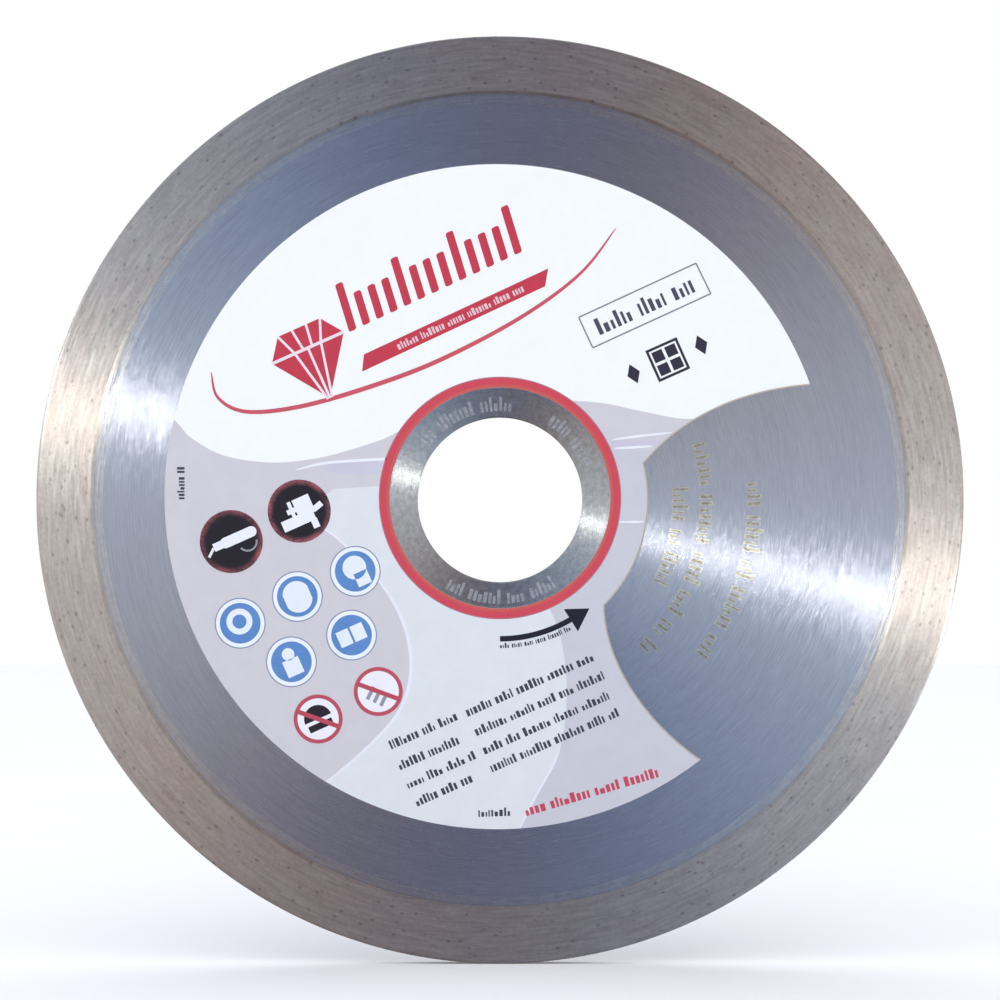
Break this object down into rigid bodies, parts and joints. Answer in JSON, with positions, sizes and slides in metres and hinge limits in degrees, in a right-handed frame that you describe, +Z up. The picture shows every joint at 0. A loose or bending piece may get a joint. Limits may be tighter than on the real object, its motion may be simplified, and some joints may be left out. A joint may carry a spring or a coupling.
{
  "type": "diamond blade",
  "caption": "Round continuous-rim cutting disc: a thin steel core with a plain arbor bore, a sintered diamond rim and a round printed label with a curved window.",
  "frame": {"origin": "centre of the arbor bore, midway through the blade's thickness", "axes": "+Y along the blade's axis, out of its plain back; -Y out of its labelled front; +Z up as the label is read, and +X to the right seen from the front"},
  "size_m": [0.125, 0.0022, 0.125],
  "materials": {
    "core_steel": "circular ground and brushed",
    "bare_bond": "sintered metal, ground flush",
    "diamond_bond": "sintered metal with diamond grit, fine circular grinding lines",
    "adhesive": "clear tacky layer",
    "printed_film": "printed film under a smooth clear layer"
  },
  "bodies": {
    "root": {"steel_core": "core_steel", "backing_ring": "bare_bond", "diamond_rim": "diamond_bond", "label_adhesive": "adhesive", "label_film": "printed_film"}
  },
  "joints": []
}
